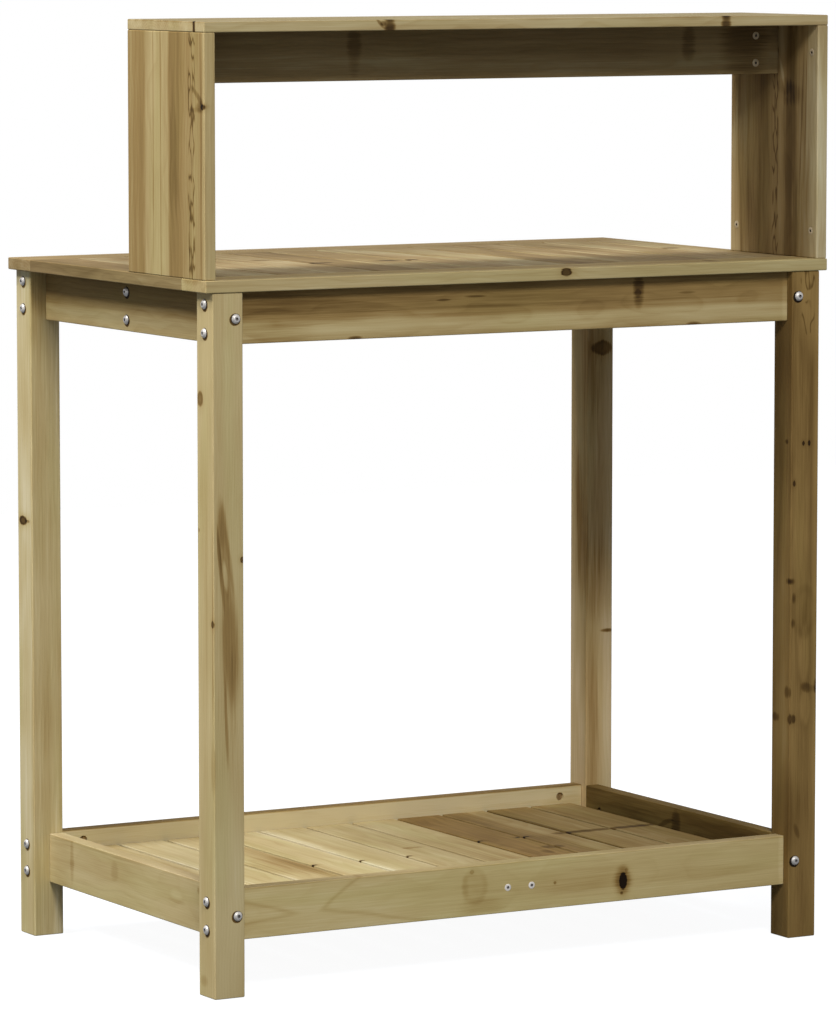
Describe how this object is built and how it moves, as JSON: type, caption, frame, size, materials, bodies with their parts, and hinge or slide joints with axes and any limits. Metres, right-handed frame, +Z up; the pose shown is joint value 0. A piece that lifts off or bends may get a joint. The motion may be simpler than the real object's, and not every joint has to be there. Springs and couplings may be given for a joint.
{
  "type": "potting bench",
  "caption": "Timber potting bench: slatted worktop on four square legs, slatted lower shelf inside deep rails, and a hutch with a shelf over the rear edge.",
  "frame": {"origin": "floor level, midway between the four legs, which is the bottom centre of the bounding box", "axes": "+Z up; +X to the gardener's right along the worktop; the gardener stands on the -Y side and the hutch stands on the +Y edge"},
  "size_m": [0.825, 0.5026, 1.091],
  "materials": {
    "leg_timber": "planed softwood, green-brown pressure impregnated, matt",
    "rail_timber": "planed softwood, green-brown pressure impregnated, matt",
    "slat_timber": "planed softwood slats, green-brown pressure impregnated, matt",
    "batten_timber": "planed softwood battens, green-brown pressure impregnated, matt",
    "hutch_timber": "glued softwood panel, green-brown pressure impregnated, matt",
    "bolt_steel": "bright zinc plating",
    "screw_steel": "yellow zinc plating",
    "cam_zinc": "satin zinc casting"
  },
  "bodies": {
    "root": {"leg_front_left": "leg_timber", "leg_front_right": "leg_timber", "leg_rear_left": "leg_timber", "leg_rear_right": "leg_timber", "apron_front": "rail_timber", "apron_rear": "rail_timber", "apron_left": "rail_timber", "apron_right": "rail_timber", "centre_beam": "rail_timber", "lower_rail_front": "rail_timber", "lower_rail_rear": "rail_timber", "lower_rail_left": "rail_timber", "lower_rail_right": "rail_timber", "worktop_border_front": "slat_timber", "worktop_border_rear": "slat_timber", "worktop_slat_1": "slat_timber", "worktop_slat_2": "slat_timber", "worktop_slat_3": "slat_timber", "worktop_slat_4": "slat_timber", "worktop_slat_5": "slat_timber", "worktop_slat_6": "slat_timber", "worktop_slat_7": "slat_timber", "worktop_slat_8": "slat_timber", "worktop_slat_9": "slat_timber", "worktop_slat_10": "slat_timber", "worktop_slat_11": "slat_timber", "worktop_slat_12": "slat_timber", "worktop_slat_13": "slat_timber", "worktop_batten_front": "batten_timber", "worktop_batten_rear": "batten_timber", "shelf_slat_1": "slat_timber", "shelf_slat_2": "slat_timber", "shelf_slat_3": "slat_timber", "shelf_slat_4": "slat_timber", "shelf_slat_5": "slat_timber", "shelf_slat_6": "slat_timber", "shelf_slat_7": "slat_timber", "shelf_slat_8": "slat_timber", "shelf_slat_9": "slat_timber", "shelf_slat_10": "slat_timber", "shelf_slat_11": "slat_timber", "shelf_batten_front": "batten_timber", "shelf_batten_rear": "batten_timber", "hutch_panel_left": "hutch_timber", "hutch_panel_right": "hutch_timber", "hutch_stretcher": "hutch_timber", "hutch_shelf": "hutch_timber", "frame_bolts": "bolt_steel", "beam_bolts": "bolt_steel", "barrel_nuts": "bolt_steel", "worktop_screws": "screw_steel", "worktop_batten_screws": "screw_steel", "shelf_screws": "screw_steel", "shelf_batten_screws": "screw_steel", "shelf_centre_screws": "bolt_steel", "hutch_cams": "cam_zinc", "hutch_pins": "bolt_steel"}
  },
  "joints": []
}
